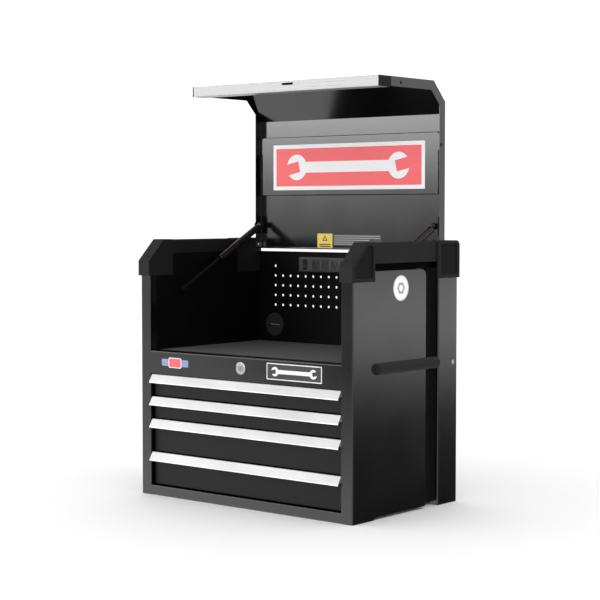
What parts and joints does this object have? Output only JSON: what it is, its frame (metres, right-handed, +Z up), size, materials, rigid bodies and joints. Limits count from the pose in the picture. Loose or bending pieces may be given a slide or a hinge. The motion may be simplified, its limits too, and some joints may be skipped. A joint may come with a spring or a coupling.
{
  "type": "top tool chest",
  "caption": "Top tool chest with roller-slide drawers under an open tray, a bevelled lift-up lid on gas struts, side handles and a front lock.",
  "frame": {"origin": "on the floor, under the middle of the whole footprint", "axes": "+Z up, the front faces -Y, +X to the right seen from the front"},
  "size_m": [0.7424, 0.419, 1.0056],
  "materials": {
    "case_paint": "smooth gloss black powder coat",
    "lid_paint": "high gloss black powder coat",
    "drawer_paint": "satin black powder coat",
    "inner_paint": "satin black powder coat",
    "pull_aluminium": "brushed along its length, clear anodised",
    "trim_aluminium": "fine brushed, clear anodised",
    "cap_plastic": "fine grained moulding",
    "slide_steel": "zinc plated",
    "hardware_steel": "zinc plated",
    "strut_black": "black lacquer",
    "strut_rod": "black nitrided steel",
    "lock_chrome": "polished chrome",
    "strip_plastic": "fine grained moulding",
    "outlet_plastic": "smooth moulding",
    "switch_plastic": "smooth moulding",
    "grip_rubber": "moulded soft grip",
    "grommet_rubber": "moulded rubber"
  },
  "bodies": {
    "chest": {"right_side_panel": "case_paint", "left_side_panel": "case_paint", "rear_posts": "case_paint", "inner_walls": "inner_paint", "back_panel": "case_paint", "pegboard_panel": "inner_paint", "bottom_panel": "inner_paint", "bottom_front_rail": "case_paint", "lock_fascia": "case_paint", "tray_floor": "inner_paint", "top_rails": "cap_plastic", "front_corner_caps": "cap_plastic", "rear_corner_caps": "cap_plastic", "side_handle_grips": "grip_rubber", "handle_brackets": "cap_plastic", "slide_outer_members": "slide_steel", "lock_barrel": "lock_chrome", "lock_guides": "hardware_steel", "power_strip_housing": "strip_plastic", "power_strip_outlets": "outlet_plastic", "cable_grommet": "grommet_rubber", "hinge_pins": "hardware_steel", "hinge_plates": "hardware_steel", "strut_case_brackets": "inner_paint", "case_screws": "hardware_steel"},
    "lid": {"lid_shell": "lid_paint", "lid_tool_plate": "lid_paint", "lid_handle_trim": "trim_aluminium", "lid_handle_end_caps": "cap_plastic", "lid_screws": "strut_black", "strut_lid_brackets": "inner_paint"},
    "left_strut_rod": {"left_strut_rod": "strut_rod"},
    "left_strut_cylinder": {"left_strut_cylinder": "strut_black"},
    "right_strut_rod": {"right_strut_rod": "strut_rod"},
    "right_strut_cylinder": {"right_strut_cylinder": "strut_black"},
    "lock": {"lock_plug": "lock_chrome", "lid_hook": "hardware_steel", "lock_torque_rod": "hardware_steel"},
    "lock_bar": {"drawer_lock_bar": "hardware_steel"},
    "rocker": {"power_strip_switch": "switch_plastic"},
    "drawer_1": {"drawer_1_box": "drawer_paint", "drawer_1_front": "drawer_paint", "drawer_1_pull": "pull_aluminium", "drawer_1_slide_inners": "slide_steel"},
    "drawer_1_slides": {"drawer_1_slide_middles": "slide_steel"},
    "drawer_2": {"drawer_2_box": "drawer_paint", "drawer_2_front": "drawer_paint", "drawer_2_pull": "pull_aluminium", "drawer_2_slide_inners": "slide_steel"},
    "drawer_2_slides": {"drawer_2_slide_middles": "slide_steel"},
    "drawer_3": {"drawer_3_box": "drawer_paint", "drawer_3_front": "drawer_paint", "drawer_3_pull": "pull_aluminium", "drawer_3_slide_inners": "slide_steel"},
    "drawer_3_slides": {"drawer_3_slide_middles": "slide_steel"},
    "drawer_4": {"drawer_4_box": "drawer_paint", "drawer_4_front": "drawer_paint", "drawer_4_pull": "pull_aluminium", "drawer_4_slide_inners": "slide_steel"},
    "drawer_4_slides": {"drawer_4_slide_middles": "slide_steel"}
  },
  "joints": [
    {"name": "lid_swing", "type": "hinge", "parent": "chest", "child": "lid", "pos_m": [0, 0.1956, 0.6095], "axis": [1, 0, 0], "range_deg": [0, 90]},
    {"name": "left_strut_pivot", "type": "hinge", "parent": "chest", "child": "left_strut_rod", "pos_m": [-0.277, -0.1025, 0.507], "axis": [1, 0, 0], "range_deg": [-7.97, 0]},
    {"name": "left_strut_slide", "type": "slide", "parent": "left_strut_rod", "child": "left_strut_cylinder", "axis": [0, -0.8815, -0.4721], "range_m": [0, 0.06181]},
    {"name": "right_strut_pivot", "type": "hinge", "parent": "chest", "child": "right_strut_rod", "pos_m": [0.277, -0.1025, 0.507], "axis": [1, 0, 0], "range_deg": [-7.97, 0]},
    {"name": "right_strut_slide", "type": "slide", "parent": "right_strut_rod", "child": "right_strut_cylinder", "axis": [0, -0.8815, -0.4721], "range_m": [0, 0.06181]},
    {"name": "drawer_1_slide", "type": "slide", "parent": "chest", "child": "drawer_1", "axis": [0, -1, 0], "range_m": [0, 0.33]},
    {"name": "drawer_1_slide_members", "type": "slide", "parent": "chest", "child": "drawer_1_slides", "axis": [0, -1, 0], "range_m": [0, 0.165]},
    {"name": "drawer_2_slide", "type": "slide", "parent": "chest", "child": "drawer_2", "axis": [0, -1, 0], "range_m": [0, 0.33]},
    {"name": "drawer_2_slide_members", "type": "slide", "parent": "chest", "child": "drawer_2_slides", "axis": [0, -1, 0], "range_m": [0, 0.165]},
    {"name": "drawer_3_slide", "type": "slide", "parent": "chest", "child": "drawer_3", "axis": [0, -1, 0], "range_m": [0, 0.33]},
    {"name": "drawer_3_slide_members", "type": "slide", "parent": "chest", "child": "drawer_3_slides", "axis": [0, -1, 0], "range_m": [0, 0.165]},
    {"name": "drawer_4_slide", "type": "slide", "parent": "chest", "child": "drawer_4", "axis": [0, -1, 0], "range_m": [0, 0.33]},
    {"name": "drawer_4_slide_members", "type": "slide", "parent": "chest", "child": "drawer_4_slides", "axis": [0, -1, 0], "range_m": [0, 0.165]},
    {"name": "lock_turn", "type": "hinge", "parent": "chest", "child": "lock", "pos_m": [0, -0.1905, 0.33], "axis": [0, -1, 0], "range_deg": [0, 90]},
    {"name": "lock_bar_lift", "type": "slide", "parent": "chest", "child": "lock_bar", "axis": [0, 0, 1], "range_m": [0, 0.01416]},
    {"name": "rocker_switch", "type": "hinge", "parent": "chest", "child": "rocker", "pos_m": [-0.108, 0.1691, 0.56075], "axis": [1, 0, 0], "range_deg": [-13, 0]}
  ],
  "couplings": [
    {"joint": "left_strut_pivot", "follows": "lid_swing", "ratio": -0.088397},
    {"joint": "left_strut_slide", "follows": "lid_swing", "m_per_rad": 0.03934},
    {"joint": "right_strut_pivot", "follows": "lid_swing", "ratio": -0.088397},
    {"joint": "right_strut_slide", "follows": "lid_swing", "m_per_rad": 0.03934},
    {"joint": "drawer_1_slide_members", "follows": "drawer_1_slide", "ratio": 0.5},
    {"joint": "drawer_2_slide_members", "follows": "drawer_2_slide", "ratio": 0.5},
    {"joint": "drawer_3_slide_members", "follows": "drawer_3_slide", "ratio": 0.5},
    {"joint": "drawer_4_slide_members", "follows": "drawer_4_slide", "ratio": 0.5},
    {"joint": "lock_bar_lift", "follows": "lock_turn", "m_per_rad": 0.0090032}
  ]
}
